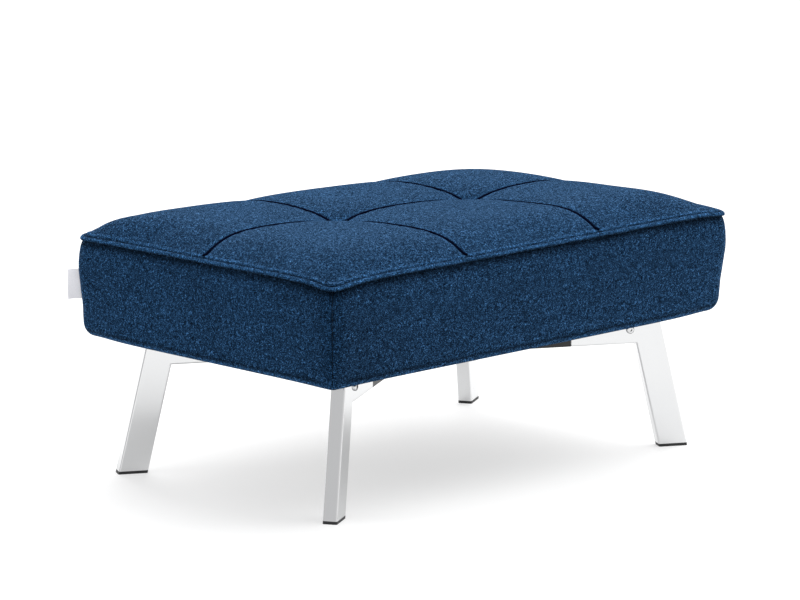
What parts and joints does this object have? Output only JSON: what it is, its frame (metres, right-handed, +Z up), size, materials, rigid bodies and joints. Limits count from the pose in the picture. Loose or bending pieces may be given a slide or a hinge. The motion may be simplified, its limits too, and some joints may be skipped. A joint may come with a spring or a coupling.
{
  "type": "upholstered footstool",
  "caption": "Rectangular upholstered footstool with a quilted, crowned box cushion on splayed rectangular-tube metal legs joined by a cross frame.",
  "frame": {"origin": "on the floor, under the middle of the footstool", "axes": "+X along the cushion's length, +Y across its width, +Z up; the front long side faces -Y"},
  "size_m": [0.9557, 0.6417, 0.4585],
  "materials": {
    "cover_cloth": "dark denim-blue chenille upholstery cloth with a fine mottled pile",
    "wadding": "white polyester fibre wadding",
    "topper_foam": "soft polyurethane foam",
    "core_foam": "firm polyurethane foam",
    "twine": "waxed upholstery twine",
    "dust_cloth": "black non-woven dust cloth",
    "label_cloth": "pale woven label, blank",
    "plywood": "birch plywood, unfinished",
    "chrome_tube": "polished chrome plate",
    "chrome_bolt": "bright plated bolt",
    "glide_plastic": "black moulded plastic",
    "pad_rubber": "black rubber",
    "black_steel": "black powder-coated steel",
    "zinc_fixings": "zinc-plated steel"
  },
  "bodies": {
    "root": {"arm_pad_left_front": "pad_rubber", "arm_pad_left_rear": "pad_rubber", "arm_pad_right_front": "pad_rubber", "arm_pad_right_rear": "pad_rubber", "base_board": "plywood", "core_foam": "core_foam", "dust_cover": "dust_cloth", "edge_flange": "cover_cloth", "frame_bar_left_front": "black_steel", "frame_bar_left_rear": "black_steel", "frame_bar_right_front": "black_steel", "frame_bar_right_rear": "black_steel", "frame_screws": "zinc_fixings", "frame_tab_left_front": "black_steel", "frame_tab_left_rear": "black_steel", "frame_tab_right_front": "black_steel", "frame_tab_right_rear": "black_steel", "hub_plate_lower": "black_steel", "hub_plate_upper": "black_steel", "leg_arm_left_front": "chrome_tube", "leg_arm_left_rear": "chrome_tube", "leg_arm_right_front": "chrome_tube", "leg_arm_right_rear": "chrome_tube", "leg_bolts": "chrome_bolt", "leg_glide_left_front": "glide_plastic", "leg_glide_left_rear": "glide_plastic", "leg_glide_right_front": "glide_plastic", "leg_glide_right_rear": "glide_plastic", "leg_post_left_front": "chrome_tube", "leg_post_left_rear": "chrome_tube", "leg_post_right_front": "chrome_tube", "leg_post_right_rear": "chrome_tube", "quilt_pad_left_front": "wadding", "quilt_pad_left_rear": "wadding", "quilt_pad_middle_front": "wadding", "quilt_pad_middle_rear": "wadding", "quilt_pad_right_front": "wadding", "quilt_pad_right_rear": "wadding", "side_label": "label_cloth", "side_strip_front": "cover_cloth", "side_strip_left": "cover_cloth", "side_strip_rear": "cover_cloth", "side_strip_right": "cover_cloth", "side_wadding": "wadding", "spigot_left_front": "black_steel", "spigot_left_rear": "black_steel", "spigot_right_front": "black_steel", "spigot_right_rear": "black_steel", "tee_nuts": "zinc_fixings", "top_panel_left_front": "cover_cloth", "top_panel_left_rear": "cover_cloth", "top_panel_middle_front": "cover_cloth", "top_panel_middle_rear": "cover_cloth", "top_panel_right_front": "cover_cloth", "top_panel_right_rear": "cover_cloth", "topper_foam": "topper_foam", "tuft_tie_left": "twine", "tuft_tie_right": "twine", "tuft_washers": "zinc_fixings", "weld_nuts": "zinc_fixings"}
  },
  "joints": []
}
